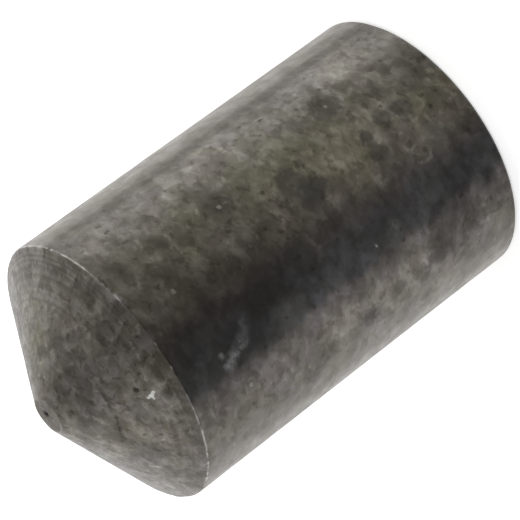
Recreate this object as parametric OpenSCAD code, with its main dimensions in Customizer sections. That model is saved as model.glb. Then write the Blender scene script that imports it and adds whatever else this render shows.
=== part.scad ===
// Locking bolt: a plain round pin, turned from bar in one piece, with a flat
// rear face and a blunt conical nose that drops into a matching notch.
// It stands on its rear face: Z is the bolt's axis, and the nose points up.

/* [Shank] */
// Diameter of the ground shank
shank_d = 16; // [6:0.5:40]
// Length of the shank, from the rear face to the rim of the nose
shank_length = 23; // [8:0.5:80]

/* [Nose] */
// Included angle of the conical nose, in degrees
nose_angle = 120; // [60:1:150]
// Diameter of the flat land left at the point
point_d = 2.1; // [1:0.1:5]

/* [Edges] */
// Chamfer round the rear face
rear_chamfer = 0.2; // [0.05:0.05:0.6]
// Radius that breaks the rim between shank and nose
rim_radius = 0.15; // [0.05:0.05:0.6]
// Radius round the land at the point
point_radius = 0.3; // [0.05:0.05:0.45]

/* [Hidden] */
// Sides of a full circle
$fn = 180;

shank_r = shank_d / 2;
point_r = point_d / 2;

// The flank of the nose leans in from the axis by half the included angle
flank_lean = nose_angle / 2;
flank_direction = [-sin(flank_lean), cos(flank_lean)];
nose_height = (shank_r - point_r) / tan(flank_lean);
overall_length = shank_length + nose_height;

// Sharp corners of the outline, where its straight stretches would meet
rim_corner = [shank_r, shank_length];
point_corner = [point_r, overall_length];

// Distance from each sharp corner to the place where its radius starts
rim_tangent = rim_radius * tan(flank_lean / 2);
point_tangent = point_radius * tan((90 - flank_lean) / 2);

// Half section of the bolt: radius to the right, height upwards
module half_section() {
    polygon([
        [0, 0],
        [shank_r - rear_chamfer, 0],
        [shank_r, rear_chamfer],
        rim_corner - [0, rim_tangent],
        rim_corner + rim_tangent * flank_direction,
        point_corner - point_tangent * flank_direction,
        point_corner - [point_tangent, 0],
        [0, overall_length]
    ]);
    translate(rim_corner - [rim_radius, rim_tangent]) circle(r = rim_radius);
    translate(point_corner - [point_tangent, point_radius]) circle(r = point_radius);
}

// The whole bolt, one turned piece of blackened steel
module locking_bolt() {
    color("dimgray") rotate_extrude() half_section();
}

locking_bolt();
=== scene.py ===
import math

import bpy
import numpy as np
from mathutils import Matrix, Vector


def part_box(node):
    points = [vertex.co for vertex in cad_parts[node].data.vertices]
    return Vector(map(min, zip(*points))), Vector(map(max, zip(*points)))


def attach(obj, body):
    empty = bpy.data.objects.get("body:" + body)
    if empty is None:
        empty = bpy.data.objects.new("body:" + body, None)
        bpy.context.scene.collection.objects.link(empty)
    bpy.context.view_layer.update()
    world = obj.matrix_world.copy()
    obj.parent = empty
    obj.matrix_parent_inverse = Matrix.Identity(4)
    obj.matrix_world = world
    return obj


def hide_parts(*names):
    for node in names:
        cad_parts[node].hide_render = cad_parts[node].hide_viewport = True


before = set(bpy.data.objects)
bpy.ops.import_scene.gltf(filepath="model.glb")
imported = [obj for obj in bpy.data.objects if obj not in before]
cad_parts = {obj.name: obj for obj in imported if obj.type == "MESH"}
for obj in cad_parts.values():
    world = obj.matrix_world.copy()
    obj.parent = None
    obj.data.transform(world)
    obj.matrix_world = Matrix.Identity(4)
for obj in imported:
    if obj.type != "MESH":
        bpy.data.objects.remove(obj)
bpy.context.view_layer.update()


# Locking bolt
# A plain round bolt turned from steel bar in one piece: straight shank, blunt conical nose, flat rear face.
# The skin is a dark oxide scale from hardening, stained by oil and rubbed bright where the rim slides.
# Round the shank its colour also holds painted sheen, painted highlights and a painted dark reflection.
MM = 0.001
bolt_low, bolt_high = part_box("locking_bolt")
shank_radius = min(bolt_high.x, bolt_high.y, -bolt_low.x, -bolt_low.y)
overall_length = bolt_high.z
flank_lean = math.radians(60)
land_radius = 1.05 * MM
rear_chamfer = 0.2 * MM
rim_radius = 0.15 * MM
point_radius = 0.3 * MM
nose_height = (shank_radius - land_radius) / math.tan(flank_lean)
shank_length = overall_length - nose_height

# Half way up the nose the turning tool left one deeper groove, over part of a turn given in degrees.
groove_radius = 4.0 * MM
groove_half = 0.12 * MM
groove_bearing = 31
groove_reach = 38
groove_fade = 12


def straight(start, end, steps):
    """Points from start towards end in equal steps, without the end itself."""
    share = np.arange(steps)[:, None] / steps
    return np.array(start) * (1 - share) + np.array(end) * share


def arc(centre, radius, first, last, steps):
    """Points on a circle, centre plus radius times the direction, as that turns from first to last."""
    turn = np.linspace(first, last, steps, endpoint=False)
    return np.array(centre) + radius * np.column_stack([np.cos(turn), np.sin(turn)])


def on_flank_line(radius):
    """Outline point of the flank at that distance from the axis."""
    return np.array([radius, shank_length + (shank_radius - radius) / math.tan(flank_lean)])


# The outline runs from the middle of the rear face, up the shank and the flank, to the middle of the land.
# A short step beside each end of the rear chamfer keeps its edges crisp under smooth shading.
crease = 0.03 * MM
chamfer_foot = shank_radius - rear_chamfer
rim_tangent = rim_radius * math.tan(flank_lean / 2)
point_tangent = point_radius * math.tan((math.pi / 2 - flank_lean) / 2)
rim_centre = (shank_radius - rim_radius, shank_length - rim_tangent)
point_centre = (land_radius - point_tangent, overall_length - point_radius)
rim_corner = np.array([shank_radius, shank_length])
point_corner = np.array([land_radius, overall_length])
flank_direction = np.array([-math.sin(flank_lean), math.cos(flank_lean)])
groove_outer = on_flank_line(groove_radius + groove_half)
groove_inner = on_flank_line(groove_radius - groove_half)
outline = np.vstack([
    straight((0, 0), (chamfer_foot - crease, 0), 20)[1:],
    straight((chamfer_foot - crease, 0), (chamfer_foot, 0), 2),
    straight((chamfer_foot, 0), (shank_radius, rear_chamfer), 4),
    straight((shank_radius, rear_chamfer), (shank_radius, rear_chamfer + crease), 2),
    straight((shank_radius, rear_chamfer + crease), (shank_radius, rim_centre[1]), 140),
    arc(rim_centre, rim_radius, 0, flank_lean, 10),
    straight(rim_corner + rim_tangent * flank_direction, groove_outer, 34),
    straight(groove_outer, groove_inner, 9),
    straight(groove_inner, point_corner - point_tangent * flank_direction, 27),
    arc(point_centre, point_radius, flank_lean, math.pi / 2, 8),
    straight((point_centre[0], overall_length), (0, overall_length), 12),
])
rings = len(outline)
turns = 360
bearings = np.linspace(0, 2 * math.pi, turns, endpoint=False)


def turned(points, angles):
    """Carries the outline round the axis: radius and height turn through each angle, which counts clockwise
    seen from above and starts at the front, on the -Y side."""
    radius = points[:, 0][:, None]
    height = np.repeat(points[:, 1][:, None], len(angles), axis=1)
    return np.stack([-radius * np.sin(angles), -radius * np.cos(angles), height], axis=2)


def carried(point, degrees):
    """One outline point, carried round to a bearing in degrees."""
    return turned(np.array([point]), np.radians([degrees]))[0, 0]


def outline_normals(points):
    """Outward direction at each outline point, square to the line between its two neighbours."""
    ends = np.vstack([points[:1] * [0, 1], points, [[0, overall_length]]])
    along = ends[2:] - ends[:-2]
    along /= np.linalg.norm(along, axis=1)[:, None]
    return np.column_stack([along[:, 1], -along[:, 0]])


surface = turned(outline, bearings)
outward = turned(outline_normals(outline), bearings)
spots = surface.reshape(-1, 3)
from_axis = np.hypot(spots[:, 0], spots[:, 1])
degrees_round = np.degrees(np.arctan2(-spots[:, 0], -spots[:, 1]))


def ripple(points, size, seed):
    """Smooth unevenness between about -1 and 1: the mean of cosine waves that cross the points in random
    directions, each about size long, brought up to that reach."""
    wave_count = 24
    reach = 3.5
    draw = np.random.default_rng(seed)
    direction = draw.normal(size=(3, wave_count))
    direction /= np.linalg.norm(direction, axis=0)
    waves = 2 * math.pi / size * draw.uniform(0.6, 1.5, wave_count)
    start = draw.uniform(0, 2 * math.pi, wave_count)
    return np.cos(points @ (direction * waves) + start).mean(1) * reach


def bowl(middle, deep, width):
    """Depth of a shallow bowl: deep times a bell curve of the distance from its middle."""
    return deep * np.exp(-((spots - middle) ** 2).sum(1) / width ** 2)


def beside(distance, width):
    """Bell curve of a distance: 1 at none, and next to nothing at twice the width."""
    return np.exp(-((distance / width) ** 2))


def from_edge(centre, radius, lean):
    """Distance from the ring along a rounded edge: centre plus radius times the direction at that lean."""
    middle = np.array(centre) + radius * np.array([math.cos(lean), math.sin(lean)])
    return np.hypot(from_axis - middle[0], spots[:, 2] - middle[1])


def along_turn(middle, reach, fade):
    """1 round a bearing and 0 past its reach to either side, over a fade, all in degrees."""
    return np.clip((reach - np.abs(degrees_round - middle)) / fade, 0, 1)


# Scale pits and handling dents are shallow bowls, at random places clear of the middle of both ends.
scale_relief = 0.003 * MM
pit_count = 160
end_spots = 20 * turns
pit_draw = np.random.default_rng(7)
pit_middles = spots[pit_draw.integers(end_spots, len(spots) - end_spots, pit_count)]
pit_widths = pit_draw.uniform(0.16, 0.5, pit_count) * MM
pit_depths = pit_draw.uniform(0.004, 0.018, pit_count) * MM
depth = scale_relief * (1 + ripple(spots, 1.6 * MM, 3))
for middle, deep, width in zip(pit_middles, pit_depths, pit_widths):
    depth += bowl(middle, deep, width)

# The land keeps a small pit near its centre, where the turning tool ran out; its offset is in millimetres.
pip_offset = (0.10, 0.06)
pip_depth = 0.12 * MM
pip_width = 0.17 * MM
pip_middle = np.array([*pip_offset, 0]) * MM + np.array([0, 0, overall_length])
depth += bowl(pip_middle, pip_depth, pip_width)

# The rim is knocked back unevenly by the seat that it slides into, and is rubbed bright in stretches:
# each runs from one bearing to another, in degrees, with how bright it is.
rim_wear_width = 0.08 * MM
rim_knock = 0.02 * MM
stretch_fade = 1.2
rubbed_stretches = [
    (-84, -57, 0.85), (-58, -35, 0.5), (-36, -22, 0.34), (-22, -17, 0.75),
    (1.5, 4, 0.45), (11.5, 14, 0.45), (24, 41, 0.55), (40, 74, 0.72),
    (96, 128, 0.65), (141, 172, 0.5), (-173, -131, 0.7), (-118, -97, 0.55),
]
on_rim = beside(from_edge(rim_centre, rim_radius, flank_lean / 2), rim_wear_width)
rubbed = np.full(len(spots), 0.06)
for first, last, bright in rubbed_stretches:
    inside = np.minimum(degrees_round - first, last - degrees_round)
    rubbed = np.maximum(rubbed, bright * np.clip(inside / stretch_fade + 0.5, 0, 1))
rim_wear = on_rim * rubbed * np.clip(0.72 + 0.4 * ripple(spots, 0.45 * MM, 5), 0.12, 1)
depth += rim_knock * on_rim * (1 + ripple(spots, 0.9 * MM, 11)).clip(0)

# The rounded edge of the land is rubbed too, fainter and on one side only, and the rim has one nick.
land_wear = 0.36
land_wear_width = 0.12 * MM
land_edge_lean = (flank_lean + math.pi / 2) / 2
on_land_edge = beside(from_edge(point_centre, point_radius, land_edge_lean), land_wear_width)
rim_wear = np.maximum(rim_wear, land_wear * along_turn(70, 85, 25) * on_land_edge)
nick_bearing = -16
nick_depth = 0.05 * MM
nick_width = 0.16 * MM
depth += bowl(carried(rim_corner, nick_bearing), nick_depth, nick_width)

# The groove is cut into part of a turn of the nose, and near it a knock left a small dent, at a bearing and
# at a distance from the axis in millimetres.
groove_depth = 0.025 * MM
groove_width = 0.05 * MM
groove_run = along_turn(groove_bearing, groove_reach, groove_fade) * (spots[:, 2] > shank_length)
depth += groove_depth * groove_run * beside(from_axis - groove_radius, groove_width)
dent = (16.6, 5.71)
dent_depth = 0.05 * MM
dent_width = 0.13 * MM
depth += bowl(carried(on_flank_line(dent[1] * MM), dent[0]), dent_depth, dent_width)
shaped = spots - outward.reshape(-1, 3) * depth.clip(0)[:, None]

index = np.arange(rings * turns).reshape(rings, turns)
corners = [index[:-1], index[1:], np.roll(index[1:], -1, axis=1), np.roll(index[:-1], -1, axis=1)]
quads = np.stack(corners, axis=2).reshape(-1, 4)
rear_pole = rings * turns
nose_pole = rear_pole + 1
rear_fan = np.column_stack([np.full(turns, rear_pole), index[0], np.roll(index[0], -1)])
nose_fan = np.column_stack([index[-1], np.full(turns, nose_pole), np.roll(index[-1], -1)])
poles = np.array([[0, 0, 0], [0, 0, overall_length - depth[-turns:].mean()]])
faces = quads.tolist() + rear_fan.tolist() + nose_fan.tolist()
bolt_mesh = bpy.data.meshes.new("locking_bolt_turned")
bolt_mesh.from_pydata(np.vstack([shaped, poles]), [], faces)
bolt_mesh.shade_smooth()
wear_attribute = bolt_mesh.attributes.new("rim_wear", "FLOAT", "POINT")
wear_attribute.data.foreach_set("value", np.append(rim_wear, [0, 0]).astype(np.float32))
bolt_mesh.update()
bolt = bpy.data.objects.new("bolt_body", bolt_mesh)
bpy.context.scene.collection.objects.link(bolt)

scale_skin = bpy.data.materials.new("oxide_scale_on_steel")
scale_skin.use_nodes = True
tree = scale_skin.node_tree
shader = tree.nodes["Principled BSDF"]


def node(kind, inputs, **settings):
    """Adds a node to the material in hand; each input is a plain value or an output to join it to."""
    made = tree.nodes.new("ShaderNode" + kind)
    for name, value in settings.items():
        setattr(made, name, value)
    for socket, value in inputs.items():
        if isinstance(value, bpy.types.NodeSocket):
            tree.links.new(value, made.inputs[socket])
        else:
            made.inputs[socket].default_value = value
    return made


def calc(operation, first, second=0.0):
    """One sum on two numbers."""
    return node("Math", {0: first, 1: second}, operation=operation).outputs[0]


def product(first, *others):
    """All the numbers multiplied together."""
    for other in others:
        first = calc("MULTIPLY", first, other)
    return first


def apart(first, second):
    """How far two numbers are apart."""
    return calc("ABSOLUTE", calc("SUBTRACT", first, second))


def span(value, low, high, start=0.0, end=1.0):
    """Carries the stretch from low to high over to the one from start to end, with soft ends."""
    limits = {"Value": value, "From Min": low, "From Max": high, "To Min": start, "To Max": end}
    return node("MapRange", limits, interpolation_type="SMOOTHSTEP").outputs["Result"]


def between(share, first, second):
    """Mixes two numbers by a share."""
    return node("Mix", {0: share, 2: first, 3: second}).outputs[0]


def blend(share, first, second, way="MIX"):
    """Mixes two colours by a share."""
    made = node("Mix", {0: share, 6: first, 7: second}, data_type="RGBA", blend_type=way)
    return made.outputs[2]


def tinted(colour, tint):
    """The colour multiplied by a tint."""
    return blend(1.0, colour, tint, "MULTIPLY")


def noise(where, per_mm, detail, rough=0.55):
    """Uneven value from 0 to 1, with about that many lumps in a millimetre."""
    inputs = {"Vector": where, "Scale": per_mm, "Detail": detail, "Roughness": rough}
    return node("TexNoise", inputs).outputs["Fac"]


def vector(operation, first, second):
    """One sum on two vectors."""
    made = node("VectorMath", {0: first, 1: second}, operation=operation)
    return made.outputs["Value" if operation == "DISTANCE" else "Vector"]


# Places are in millimetres from the middle of the rear face; bearings are in degrees, as on the mesh.
own_place = node("TexCoord", {}).outputs["Object"]
place = vector("MULTIPLY", own_place, (1 / MM, 1 / MM, 1 / MM))
rim_height = shank_length / MM


def warped(per_mm, detail, reach):
    """The place, pushed to and fro by a noise, about that far in millimetres."""
    inputs = {"Vector": place, "Scale": per_mm, "Detail": detail, "Roughness": 0.55}
    push = vector("SUBTRACT", node("TexNoise", inputs).outputs["Color"], (0.5, 0.5, 0.5))
    return vector("ADD", place, vector("MULTIPLY", push, (2 * reach, 2 * reach, 2 * reach)))


def bearing_of(where):
    """Bearing of a place."""
    axes = node("SeparateXYZ", {0: where}).outputs
    turn = calc("ARCTAN2", product(axes[0], -1), product(axes[1], -1))
    return product(turn, 180 / math.pi)


def distance_off_axis(where):
    """Distance of a place from the bolt's axis."""
    flat = vector("MULTIPLY", where, (1, 1, 0))
    return node("VectorMath", {0: flat}, operation="LENGTH").outputs["Value"]


def tool_rings(per_mm):
    """Uneven rings round the axis, about that many in a millimetre."""
    return noise(node("CombineXYZ", {2: off_axis}).outputs[0], per_mm, 1, 0.5)


# Warped places give the marks uneven edges, from wide and wandering to fine and crisp.
drifted = warped(0.5, 4, 1.2)
ragged = warped(1.5, 2.5, 0.6)
swirled = warped(1.2, 2, 0.3)
edged = warped(3.0, 2, 0.16)
height = node("SeparateXYZ", {0: place}).outputs[2]
off_axis = distance_off_axis(place)
on_nose = span(height, rim_height - 0.06, rim_height + 0.02)
on_bar = calc("SUBTRACT", 1, on_nose)
drifted_bearing = bearing_of(drifted)
round_share = calc("ADD", calc("DIVIDE", drifted_bearing, 360), 0.5)


def round_ramp(stops):
    """Colours round the bolt, each at its bearing in degrees; the fourth number says how crusty it is."""
    made = node("ValToRGB", {"Fac": round_share})
    ramp = made.color_ramp
    ramp.interpolation = "EASE"
    while len(ramp.elements) < len(stops):
        ramp.elements.new(0.5)
    for element, stop in zip(ramp.elements, stops):
        element.position = stop[0] / 360 + 0.5
    for element, stop in zip(ramp.elements, stops):
        element.color = stop[1]
    return made.outputs


# Round the shank the colour carries painted light as well as the scale's own tints, as noted at each
# stretch.
shank_tint_and_painted_light = round_ramp([
    # Far side, mottled, with one paler strip that is a painted highlight
    (-180, (0.120, 0.113, 0.101, 0.5)), (-163, (0.205, 0.193, 0.174, 0.15)),
    (-142, (0.126, 0.120, 0.107, 0.7)), (-105, (0.136, 0.129, 0.117, 0.4)),
    # Pale side, painted sheen
    (-75, (0.248, 0.233, 0.212, 0.1)), (-65, (0.185, 0.174, 0.156, 0.1)),
    (-52, (0.176, 0.165, 0.148, 0.5)), (-43, (0.179, 0.168, 0.149, 0.6)),
    # Olive crust along the front, darkened towards the band as painted shade
    (-35, (0.117, 0.110, 0.093, 0.7)), (-26, (0.088, 0.082, 0.066, 0.8)),
    (-12, (0.079, 0.072, 0.058, 0.8)), (-1, (0.060, 0.053, 0.044, 0.7)),
    # Dark smooth band, a painted reflection of dark surroundings
    (6, (0.032, 0.028, 0.025, 0.3)), (15, (0.024, 0.023, 0.024, 0.15)),
    (25, (0.031, 0.031, 0.032, 0.15)),
    # Grey crust, darker by the band as painted shade, and past it the other side with painted sheen
    (32, (0.086, 0.078, 0.074, 0.4)), (40, (0.117, 0.105, 0.097, 0.6)),
    (52, (0.145, 0.135, 0.123, 0.6)), (66, (0.165, 0.154, 0.140, 0.4)),
    (76, (0.235, 0.222, 0.201, 0.2)),
    # Far side again, with a darker band
    (110, (0.119, 0.112, 0.100, 0.5)), (138, (0.087, 0.081, 0.066, 0.7)),
    (152, (0.054, 0.051, 0.047, 0.5)), (180, (0.120, 0.113, 0.101, 0.5)),
])
nose_tint = round_ramp([
    (-180, (0.152, 0.143, 0.127, 0.7)), (-55, (0.138, 0.127, 0.110, 0.7)),
    (-8, (0.117, 0.107, 0.096, 0.9)), (40, (0.152, 0.140, 0.126, 0.7)),
    (180, (0.152, 0.143, 0.127, 0.7)),
])
skin = blend(on_nose, shank_tint_and_painted_light["Color"], nose_tint["Color"])
crusty = calc("ADD", product(shank_tint_and_painted_light["Alpha"], on_bar), product(nose_tint["Alpha"], on_nose))

# The scale lies in flat patches that overlap, each with a tone and a tint of its own, over wide clouds and
# under a fine grain. The patches are smeared round the shank a little, so they are longer that way than
# along it; on the nose they are smaller.
shank_smear = (0.8, 0.8, 1.1, 1)
nose_smear = (1.2, 1.2, 1.2, 1)
past_rim = calc("GREATER_THAN", height, rim_height)
smeared = vector("MULTIPLY", swirled, blend(past_rim, shank_smear, nose_smear))


def patches(per_mm, soft):
    """Flat patches, about that many in a millimetre, with edges that fade: the distance from the middle of
    each one, and its random values."""
    inputs = {"Vector": smeared, "Scale": per_mm, "Smoothness": soft}
    cells = node("TexVoronoi", inputs, feature="SMOOTH_F1")
    return cells.outputs["Distance"], node("SeparateColor", {0: cells.outputs["Color"]}).outputs


wide_values = patches(1.0, 0.5)[1]
small_values = patches(2.3, 0.4)[1]
clouds = span(noise(place, 0.25, 2), 0.3, 0.7, 0.92, 1.08)
blotch = noise(smeared, 1.0, 3.5)
grain = noise(place, 5.5, 2, 0.5)
mottle = product(
    clouds,
    span(wide_values[0], 0.2, 0.8, 0.84, 1.18),
    span(small_values[0], 0.2, 0.8, 0.86, 1.15),
    span(blotch, 0.34, 0.66, 0.76, 1.26),
    span(grain, 0.3, 0.7, 0.97, 1.03),
)

# The scale is calmer towards the two sides, which carry the painted sheen, and along the paler strip of the
# far side, a painted highlight. Beside one of the two sides a dark line is painted, a painted reflection.
highlight_strip_bearing = -163
dark_reflection_bearing = -56.5
uneven_bearing = calc("ADD", bearing_of(place), product(noise(place, 0.3, 3), 5))
side = calc("ABSOLUTE", uneven_bearing)
calm_bar = product(span(side, 30, 72, 0.15, 0.72), span(side, 135, 105, 0.4, 1.0), on_bar)
calm_nose = product(span(side, 25, 75, 0.1, 0.42), on_nose)
calm_highlight_strip = product(span(apart(uneven_bearing, highlight_strip_bearing), 24, 6, 0.0, 0.42), on_bar)
calm = calc("ADD", calc("ADD", calm_bar, calm_nose), calm_highlight_strip)
dark_reflection_line = product(span(apart(uneven_bearing, dark_reflection_bearing), 6.5, 0.5), on_bar)
mottle = product(between(calm, mottle, 1.0), span(dark_reflection_line, 0, 1, 1.0, 0.62))

# The turning tool cut fine rings into the nose, which show best near the rim and round one bearing.
ringed_bearing = -75
ringed = product(
    on_nose,
    span(apart(drifted_bearing, ringed_bearing), 60, 20, 0.35, 1.0),
    span(off_axis, 4.8, 6.4, 0.3, 1.0),
)
mottle = product(mottle, between(ringed, 1.0, span(tool_rings(4.6), 0.36, 0.64, 0.80, 1.16)))

# Where the mottle is dark it is a little warmer, and each wide patch leans to green or to violet.
skin = tinted(skin, node("CombineColor", {0: mottle, 1: mottle, 2: mottle}).outputs[0])
skin = tinted(skin, blend(span(mottle, 0.55, 1.5), (1.035, 1.0, 0.955, 1), (0.985, 1.0, 1.015, 1)))
greenish = (0.995, 1.005, 0.965, 1)
violet = (1.012, 0.995, 1.025, 1)
skin = tinted(skin, blend(span(wide_values[1], 0.2, 0.8), greenish, violet))

# Stains and marks are set out in millimetres on a bolt of the bar's nominal radius and nominal length.
bar_radius = 8.0
land_height = 27.0


def on_shank(degrees, height):
    """A place on the shank, from its bearing and its height over the rear face."""
    turn = math.radians(degrees)
    return (-bar_radius * math.sin(turn), -bar_radius * math.cos(turn), height)


def on_flank(degrees, radius):
    """A place on the nose, from its bearing and its distance from the axis."""
    turn = math.radians(degrees)
    height = rim_height + (bar_radius - radius) / math.tan(flank_lean)
    return (-radius * math.sin(turn), -radius * math.cos(turn), height)


def spot(middle, radius, soft):
    """1 inside a mark and 0 outside it; soft is the share of the radius over which it fades. The larger the
    mark is, the further its edge wanders."""
    warp = ragged if radius > 0.45 else swirled if radius > 0.2 else edged
    from_middle = vector("DISTANCE", warp, middle)
    return span(from_middle, radius * (1 + soft / 2), radius * (1 - soft / 2))


def streak(first, last, radius):
    """1 along a stroke from first to last and 0 beside it, by the distance from the nearest place on the
    line, which lies a share of the run past the first end."""
    run = np.subtract(last, first)
    from_first = vector("SUBTRACT", edged, first)
    along = {0: from_first, 1: tuple(run / (run @ run))}
    share = node("VectorMath", along, operation="DOT_PRODUCT").outputs["Value"]
    share = node("Clamp", {0: share}).outputs[0]
    on_line = node("VectorMath", {0: tuple(run), 3: share}, operation="SCALE").outputs["Vector"]
    return span(vector("DISTANCE", from_first, on_line), radius * 2, 0)


def marks(soft, shank, nose=()):
    """Several marks in one mask, each no stronger than its own strength. A mark has its bearing, its height
    on the shank or its distance from the axis on the nose, then its radius and its strength."""
    mask = 0.0
    for listed, put in ((shank, on_shank), (nose, on_flank)):
        for degrees, along, radius, strength in listed:
            one = product(spot(put(degrees, along), radius, soft), strength)
            mask = calc("MAXIMUM", mask, one)
    return mask


# Oil has turned the scale olive in places.
olive = marks(1.2, shank=[
    (-25, 18, 1.6, 0.9), (-23, 12.6, 1.5, 0.9), (-21, 9.5, 1.6, 0.9), (-9, 8, 1.8, 0.8),
    (-9, 2.8, 1.5, 0.7), (-30, 21, 1.2, 0.7), (56, 13.5, 1.4, 0.8), (120, 8, 2.4, 0.7),
    (-150, 15, 2.6, 0.8),
], nose=[
    (50, 4.2, 1.4, 0.7), (-74, 4.2, 1.6, 1.0), (160, 5, 1.5, 0.6),
])
skin = blend(olive, skin, tinted(skin, (1.05, 1.07, 0.98, 1)))

# Worn patches are thinner scale and paler, as is the tip of the nose.
worn = marks(1.0, shank=[
    (-23, 6.8, 1.8, 0.8), (-16, 5.2, 1.4, 0.7), (-9, 8.2, 1.6, 0.9), (0, 9, 1.2, 0.6),
    (1, 3.1, 2.0, 0.95), (8, 5.6, 1.4, 0.35), (-32, 10.5, 0.9, 0.4), (36, 12.7, 1.6, 0.5),
    (40, 9.8, 1.2, 0.45), (15, 6.2, 1.6, 0.5), (6, 1.2, 1.3, 0.55), (57, 5.4, 1.2, 0.75),
    (-44, 3.6, 1.7, 0.45), (72, 2, 1.8, 0.35), (24, 15.4, 0.9, 0.6), (33, 16.8, 1.0, 0.4),
    (40, 7.6, 1.1, 0.45), (25, 7.4, 1.0, 0.75), (-44, 13.5, 1.4, 0.45), (-24, 10.5, 1.3, 0.6),
    (-16, 9.2, 1.2, 0.85), (48, 19.5, 0.9, 0.45), (-12, 0.4, 0.9, 0.75), (-42, 0.5, 1.1, 0.45),
    (-4.6, 12.8, 0.7, 0.4), (-21, 12.5, 0.9, 0.45), (-21.5, 9.3, 1.2, 0.55), (-16, 7.4, 0.9, 0.4),
    (165, 6, 2.2, 0.5), (-115, 18, 2.0, 0.4),
], nose=[
    (32, 5.3, 1.8, 0.95), (-30, 5.4, 1.3, 0.45), (12, 7.2, 1.1, 0.75), (-8, 7.3, 0.7, 0.45),
    (5, 7.5, 0.7, 0.6), (20, 7.5, 0.5, 0.45), (47, 6.45, 1.1, 0.7), (-46, 6.5, 1.0, 0.5),
    (70, 6.4, 0.9, 0.25), (-62, 3.4, 0.9, 0.35), (75, 3.4, 1.0, 0.45), (45, 2.6, 0.7, 0.2),
])
worn = calc("MAXIMUM", worn, product(span(off_axis, 2.4, 1.3, 0.0, 0.45), on_nose))
skin = blend(worn, skin, tinted(skin, (1.52, 1.52, 1.48, 1)))

# Dull patches are thicker scale, darker and soft at the edge.
dull = marks(1.0, shank=[
    (9, 18.2, 3.0, 0.85), (-3, 21.2, 2.6, 0.68), (0.5, 20.9, 0.8, 0.85), (7, 22.3, 2.2, 0.85),
    (9, 16.4, 1.6, 0.95), (9, 13.6, 1.1, 0.92), (16.5, 15.2, 0.8, 0.62), (29, 12.4, 0.8, 0.35),
    (33, 1.9, 1.2, 0.35), (-6, 15.3, 1.1, 0.45), (-6, 11.2, 1.0, 0.35), (-33, 20.3, 1.4, 0.42),
    (-23, 18.6, 1.2, 0.5), (-33, 14, 1.6, 0.25), (-46, 8.2, 1.1, 0.35), (32, 4.0, 2.1, 0.58),
    (43, 4.6, 1.4, 0.62), (0, 4.6, 0.8, 0.35), (52, 15.2, 1.2, 0.42), (0, 6, 1.0, 0.35),
    (1, 11.5, 1.3, 0.3), (-41, 19.4, 0.9, 0.3), (56, 18, 1.0, 0.25), (-32, 9, 0.9, 0.25),
    (-55, 8.8, 1.2, 0.3), (-38, 6, 0.9, 0.25), (-24, 21.6, 1.2, 0.42), (-16, 16.6, 1.2, 0.25),
    (-15.5, 17.2, 0.9, 0.38), (170, 20, 3.5, 0.35), (-120, 3, 2.5, 0.3), (100, 16, 2.2, 0.3),
], nose=[
    (-30, 7.5, 0.6, 0.3), (-14, 6.7, 1.3, 0.5), (-14, 5.5, 0.8, 0.3), (-23, 5.4, 0.6, 0.45),
    (-52, 7.4, 1.6, 0.38), (14, 4.5, 0.7, 0.25), (-75, 7, 1.0, 0.25), (68, 5.3, 1.4, 0.3),
    (2, 3.0, 1.5, 0.25), (74, 7.2, 1.3, 0.3),
])
skin = blend(dull, skin, tinted(skin, (0.35, 0.33, 0.30, 1)))

# Oil stains are almost black, with firmer edges; one of them fills the dent.
stain = marks(0.65, shank=[
    (-33, 6.6, 0.85, 0.78), (-9, 10.8, 1.0, 0.95), (-15.5, 11.4, 1.0, 0.8), (-13.8, 4.8, 0.58, 0.78),
    (-13.5, 3.4, 0.68, 0.82), (-13, 6.3, 0.5, 0.75), (-6, 6.3, 0.6, 0.65), (-19, 10.3, 0.35, 0.6),
    (7, 13.4, 0.8, 0.5), (48, 11.1, 0.6, 0.6), (42, 5.6, 0.9, 0.5), (47, 7.1, 0.6, 0.45),
    (45, 8.9, 0.4, 0.5), (49, 14.1, 0.55, 0.4), (-25, 15.2, 0.7, 0.4), (-24, 0.9, 0.8, 0.4),
    (-8, 1.6, 0.7, 0.25), (95, 14, 0.9, 0.45), (128, 6.5, 1.1, 0.5), (150, 17, 0.8, 0.5),
    (172, 9.5, 1.0, 0.55), (-150, 16.5, 0.9, 0.5), (-128, 4.5, 0.8, 0.45), (-105, 12.2, 0.7, 0.4),
], nose=[
    (*dent, 0.15, 1.0), (-62, 3.3, 0.4, 0.4), (60, 5.4, 0.7, 0.3), (140, 5.2, 0.5, 0.4),
    (-150, 3.4, 0.6, 0.4),
])
oil_black = (0.034, 0.033, 0.028, 1)
skin = blend(stain, skin, blend(0.5, tinted(skin, (0.38, 0.37, 0.35, 1)), oil_black))

# A pale smear crosses the dark band in torn strokes, and a few thin ones lie elsewhere on the shank: each
# has the bearing and height of its two ends, its radius and its strength.
pale_grey = (0.150, 0.152, 0.152, 1)
torn = span(noise(ragged, 2.2, 3), 0.36, 0.58, 0.25, 1.0)
pale = marks(0.9, shank=[(160, 14, 0.4, 0.4), (157, 14.5, 0.3, 0.4)])
for first, last, radius, strength in [
    ((15.2, 18.3), (21.5, 18.7), 0.24, 0.22), ((20.8, 18.9), (24.4, 19.8), 0.3, 0.5),
    ((23.6, 19.6), (26, 20.2), 0.22, 0.75), ((20.2, 20.3), (21.6, 20.3), 0.11, 0.5),
    ((52, 17.3), (55, 16.8), 0.1, 0.8), ((-14, 4.1), (-5, 4.05), 0.06, 0.45),
    ((-25.2, 15.1), (-24.6, 14.5), 0.06, 0.3), ((-19, 22.9), (-16.6, 22.85), 0.1, 0.9),
]:
    pale = calc("MAXIMUM", pale, product(streak(on_shank(*first), on_shank(*last), radius), strength))
skin = blend(product(pale, torn), skin, pale_grey)

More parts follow.
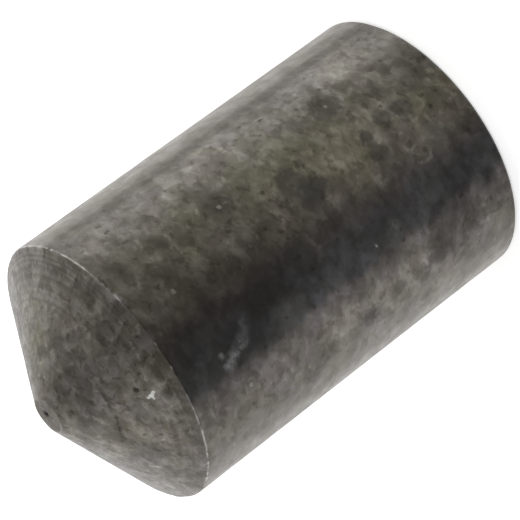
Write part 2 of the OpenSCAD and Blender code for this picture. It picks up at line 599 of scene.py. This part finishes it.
# One dark scratch on the shank, and a fainter one on the nose.
scratch = streak(on_shank(-10.6, 13.5), on_shank(-6.5, 13.35), 0.065)
nose_scratch = streak(on_flank(73.6, 5.15), on_flank(70, 5.6), 0.08)
scratch = calc("MAXIMUM", scratch, product(nose_scratch, 0.4))
skin = blend(product(scratch, 0.85), skin, (0.030, 0.028, 0.024, 1))

# A thin grey haze lies over a few places, and the pit in the land is black.
haze = marks(1.4, shank=[
    (-45, 1.0, 1.3, 0.4), (25.5, 15.7, 0.9, 0.12), (0, 3, 0.9, 0.18), (-135, 9, 1.2, 0.3),
], nose=[
    (30, 5.5, 0.8, 0.45), (0, 7.6, 0.5, 0.3),
])
skin = blend(haze, skin, (0.150, 0.148, 0.142, 1))
skin = blend(spot((*pip_offset, land_height), 0.27, 0.6), skin, (0.008, 0.008, 0.008, 1))

# Drops have dried into pale broken rings, each with its middle, its radius and its strength.
broken = span(noise(place, 1.6, 3), 0.42, 0.58)
for middle, radius, strength in [
    (on_shank(4.5, 4.3), 0.55, 0.33), (on_shank(38.4, 19.4), 0.36, 0.4),
    (on_flank(71, 3.85), 0.5, 0.3), (on_shank(-140, 17), 0.5, 0.3),
]:
    on_ring = span(apart(vector("DISTANCE", edged, middle), radius), 0.13, 0.03)
    skin = blend(product(on_ring, broken, strength), skin, (0.17, 0.165, 0.148, 1))

# The groove on the nose holds dirt.
groove_dirt = product(
    span(apart(distance_off_axis(edged), groove_radius / MM), 0.15, 0.03),
    span(apart(drifted_bearing, groove_bearing), groove_reach, groove_reach - groove_fade),
    on_nose,
    span(broken, 0, 1, 0.25, 0.7),
)
skin = blend(groove_dirt, skin, (0.035, 0.033, 0.028, 1))

# Crumbs of thicker crust show dark, small pits too, and small facets are painted bright as highlights.
crumbs = product(span(noise(smeared, 1.7, 2.5, 0.5), 0.43, 0.36), crusty)
skin = blend(crumbs, skin, tinted(skin, (0.62, 0.60, 0.56, 1)))
cells = node("TexVoronoi", {"Vector": edged, "Scale": 1.9})
few = span(node("SeparateColor", {0: cells.outputs["Color"]}).outputs[0], 0.5, 0.9)
pin_pits = product(
    span(cells.outputs["Distance"], 0.36, 0.14),
    few,
    span(noise(place, 0.7, 2), 0.38, 0.58, 0.3, 1.0),
    span(calm, 0.3, 0.7, 1.0, 0.15),
)
skin = blend(product(pin_pits, 0.8), skin, tinted(skin, (0.40, 0.38, 0.34, 1)))
flake_distance, flake_values = patches(2.0, 0.2)
highlight_flakes = product(span(flake_distance, 0.52, 0.22), span(flake_values[0], 0.6, 0.95))
facet_highlights = calc("MAXIMUM", highlight_flakes, span(noise(smeared, 2.2, 1.5, 0.5), 0.58, 0.68))
facet_highlights = product(facet_highlights, crusty, span(noise(place, 0.8, 2), 0.38, 0.6, 0.3, 1.0))
skin = blend(facet_highlights, skin, tinted(skin, (1.48, 1.50, 1.53, 1)))

# Glints are specks of bare steel, painted bright as highlights. The chip near the rim of the nose is the
# brightest, with three points, and one short stroke low on the nose is rubbed half bright.
chip = (21.9, 6.27)
glints = marks(0.8, shank=[
    (-33.3, 6.6, 0.09, 0.12), (23, 9.4, 0.08, 0.15), (-25, 15.3, 0.13, 0.13), (-48.6, 10.4, 0.22, 0.07),
    (-41, 9.1, 0.18, 0.08), (-9, 20.5, 0.13, 0.08), (38.4, 19.4, 0.12, 0.12), (110, 10, 0.12, 0.25),
    (-160, 7, 0.12, 0.25),
], nose=[
    (*chip, 0.12, 1.0), (-160, 6, 0.16, 0.5),
])
for point in ((20, 6.46), (22.5, 6.08), (23.2, 6.34)):
    glints = calc("MAXIMUM", glints, streak(on_flank(*chip), on_flank(*point), 0.06))
rubbed_stroke = streak(on_flank(78.4, 5.4), on_flank(75.4, 5.82), 0.07)
glints = calc("MAXIMUM", glints, product(rubbed_stroke, 0.2))
skin = blend(glints, skin, (0.80, 0.79, 0.76, 1))

# Where the rim is rubbed the scale is gone and the bare steel shows.
bare_steel = (0.41, 0.40, 0.38, 1)
bare = span(node("Attribute", {}, attribute_name="rim_wear").outputs["Fac"], 0.12, 0.7)
skin = blend(bare, skin, bare_steel)
roughness = calc("ADD", span(blotch, 0.3, 0.7, 0.47, 0.36), span(grain, 0.3, 0.7, 0.03, -0.03))
roughness = calc("SUBTRACT", roughness, product(stain, 0.1))
roughness = calc("SUBTRACT", roughness, product(bare, 0.1))
tree.links.new(skin, shader.inputs["Base Color"])
tree.links.new(roughness, shader.inputs["Roughness"])
tree.links.new(span(bare, 0, 1, 0.75, 1.0), shader.inputs["Metallic"])
shader.inputs["IOR"].default_value = 1.5

# The relief of the scale is fine and even on the shank; fine turning marks ring the nose and the rear face.
relief_depth = 0.035 * MM
ring_relief = product(tool_rings(4.0), calc("MAXIMUM", on_nose, span(height, 0.1, 0.02)), 0.8)
relief = calc("ADD", product(grain, 0.3), product(blotch, 0.8))
relief = calc("SUBTRACT", relief, product(pin_pits, 0.3))
relief = calc("ADD", relief, ring_relief)
bump = node("Bump", {"Height": relief, "Strength": 1.0, "Distance": relief_depth})
tree.links.new(bump.outputs["Normal"], shader.inputs["Normal"])
bolt_mesh.materials.append(scale_skin)
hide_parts("locking_bolt")
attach(bolt, "root")


# Camera
# A long lens looks down on the standing bolt, rolled so that the nose points to the picture's lower left.
# The depth and the two offsets are those of the middle of the rim, seen from the lens.
view_elevation = math.radians(24.85)
view_roll = math.radians(-126.69)
rim_depth = 155.76 * MM
rim_right = -8.138 * MM
rim_up = -5.958 * MM
forward = Vector((0, math.cos(view_elevation), -math.sin(view_elevation)))
level_up = Vector((0, math.sin(view_elevation), math.cos(view_elevation)))
right = math.cos(view_roll) * Vector((1, 0, 0)) + math.sin(view_roll) * level_up
up = right.cross(forward)
camera_data = bpy.data.cameras.new("camera")
camera_data.sensor_width = 36
camera_data.lens = 204.69
camera_data.clip_start = 0.01
camera = bpy.data.objects.new("camera", camera_data)
bpy.context.scene.collection.objects.link(camera)
camera.matrix_world = Matrix((right, up, -forward)).transposed().to_4x4()
camera.location = Vector((0, 0, shank_length)) - right * rim_right - up * rim_up - forward * rim_depth
bpy.context.scene.camera = camera


# Floor
# A wide sheet of matt white board that the bolt stands on. It glows a little to the lens and in
# reflections, so that it shows white and still keeps the bolt's shadow.
floor_half = 3.0
board_glow = 0.55
floor_corners = [(x * floor_half, y * floor_half, 0) for x, y in ((-1, -1), (1, -1), (1, 1), (-1, 1))]
floor_mesh = bpy.data.meshes.new("floor")
floor_mesh.from_pydata(floor_corners, [], [(0, 1, 2, 3)])
floor = bpy.data.objects.new("floor", floor_mesh)
bpy.context.scene.collection.objects.link(floor)
board = bpy.data.materials.new("white_board")
board.use_nodes = True
tree = board.node_tree
tree.nodes.clear()
paths = node("LightPath", {}).outputs
seen = calc("MAXIMUM", paths["Is Camera Ray"], paths["Is Glossy Ray"])
seen = calc("MAXIMUM", seen, paths["Is Transmission Ray"])
glow = node("Emission", {"Strength": product(seen, board_glow)})
matt = node("BsdfDiffuse", {"Color": (0.9, 0.9, 0.9, 1)})
both = node("AddShader", {0: matt.outputs[0], 1: glow.outputs[0]})
node("OutputMaterial", {"Surface": both.outputs[0]})
floor_mesh.materials.append(board)


# Light
# A white tent with two large soft boxes behind the bolt, left and right in the picture, and a smaller one
# to the picture's left.
def soft_box(name, bearing, elevation, distance, size, power):
    """A square lamp that faces the bolt, from a bearing that counts as on the bolt and an elevation, in
    degrees."""
    turn, rise = math.radians(bearing), math.radians(elevation)
    towards = Vector((-math.sin(turn) * math.cos(rise), -math.cos(turn) * math.cos(rise), math.sin(rise)))
    lamp = bpy.data.lights.new(name, "AREA")
    lamp.shape = "SQUARE"
    lamp.size = size
    lamp.energy = power
    held = bpy.data.objects.new(name, lamp)
    held.location = Vector((0, 0, shank_length / 2)) + towards * distance
    held.rotation_mode = "QUATERNION"
    held.rotation_quaternion = towards.to_track_quat("Z", "Y")
    bpy.context.scene.collection.objects.link(held)


soft_box("back_left", bearing=-150, elevation=20, distance=0.3, size=0.22, power=0.12)
soft_box("back_right", bearing=150, elevation=20, distance=0.3, size=0.22, power=0.12)
soft_box("left", bearing=-85, elevation=18, distance=0.3, size=0.12, power=0.15)
world = bpy.data.worlds.new("tent")
bpy.context.scene.world = world
world.use_nodes = True
tent_light = world.node_tree.nodes["Background"].inputs
tent_light["Color"].default_value = (1, 1, 1, 1)
tent_light["Strength"].default_value = 0.65
bpy.context.scene.view_settings.view_transform = "Standard"
